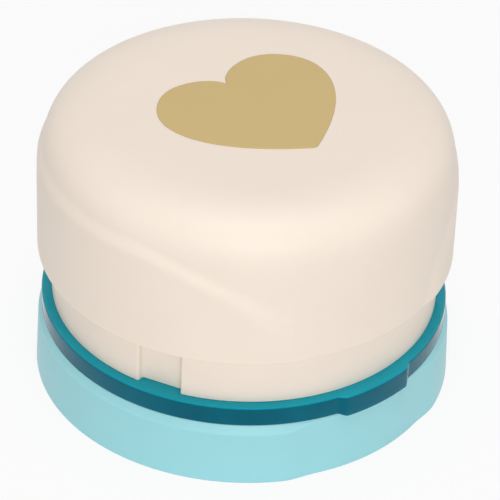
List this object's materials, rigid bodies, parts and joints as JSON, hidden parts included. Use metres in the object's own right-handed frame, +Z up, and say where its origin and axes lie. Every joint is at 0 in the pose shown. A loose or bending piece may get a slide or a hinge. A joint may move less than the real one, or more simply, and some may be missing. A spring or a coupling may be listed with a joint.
{
  "type": "craft punch",
  "caption": "Round palm punch that cuts a heart from paper: a sprung push cap on a fixed sleeve and clear guide ring, held by magnets to a loose base with a die plate.",
  "frame": {"origin": "middle of the underside of the base, on the surface that it stands on", "axes": "+Z up along the punching axis, -Y to the front, where the tab of the ring and the tip of the heart point, +X to the right seen from the front"},
  "size_m": [0.0696, 0.0696, 0.0493],
  "materials": {
    "cream_plastic": "fine satin moulding",
    "aqua_plastic": "fine satin moulding",
    "clear_teal": "clear tinted, polished",
    "gold_print": "matt gold printed film",
    "white_plastic": "natural moulding",
    "tool_steel": "ground",
    "spring_steel": "drawn wire",
    "magnet": "nickel plated",
    "screw": "zinc plated"
  },
  "bodies": {
    "base": {"base_shell": "aqua_plastic", "die_plate": "tool_steel", "bottom_cover": "aqua_plastic", "base_magnet_1": "magnet", "base_magnet_2": "magnet", "base_magnet_3": "magnet", "base_magnet_4": "magnet", "die_screw_1": "screw", "die_screw_2": "screw", "die_screw_3": "screw", "die_screw_4": "screw", "cover_screw_1": "screw", "cover_screw_2": "screw", "cover_screw_3": "screw", "cover_screw_4": "screw"},
    "head": {"guide_ring": "clear_teal", "guide_plate": "tool_steel", "body_sleeve": "cream_plastic", "return_spring": "spring_steel", "ring_magnet_1": "magnet", "ring_magnet_2": "magnet", "ring_magnet_3": "magnet", "ring_magnet_4": "magnet", "body_screw_1": "screw", "body_screw_2": "screw", "body_screw_3": "screw", "body_screw_4": "screw"},
    "push_cap": {"cap_shell": "cream_plastic", "heart_foil": "gold_print", "punch_carrier": "white_plastic", "heart_punch": "tool_steel", "cap_screw_1": "screw", "cap_screw_2": "screw", "cap_screw_3": "screw", "punch_screw_1": "screw", "punch_screw_2": "screw"}
  },
  "joints": [
    {"name": "lift_off", "type": "slide", "parent": "base", "child": "head", "axis": [0, 0, 1], "range_m": [0, 0.04]},
    {"name": "press", "type": "slide", "parent": "head", "child": "push_cap", "axis": [0, 0, -1], "range_m": [0, 0.0085], "stiffness_N_per_m": 1500, "springref_m": -0.004, "deforming": ["return_spring"]}
  ]
}
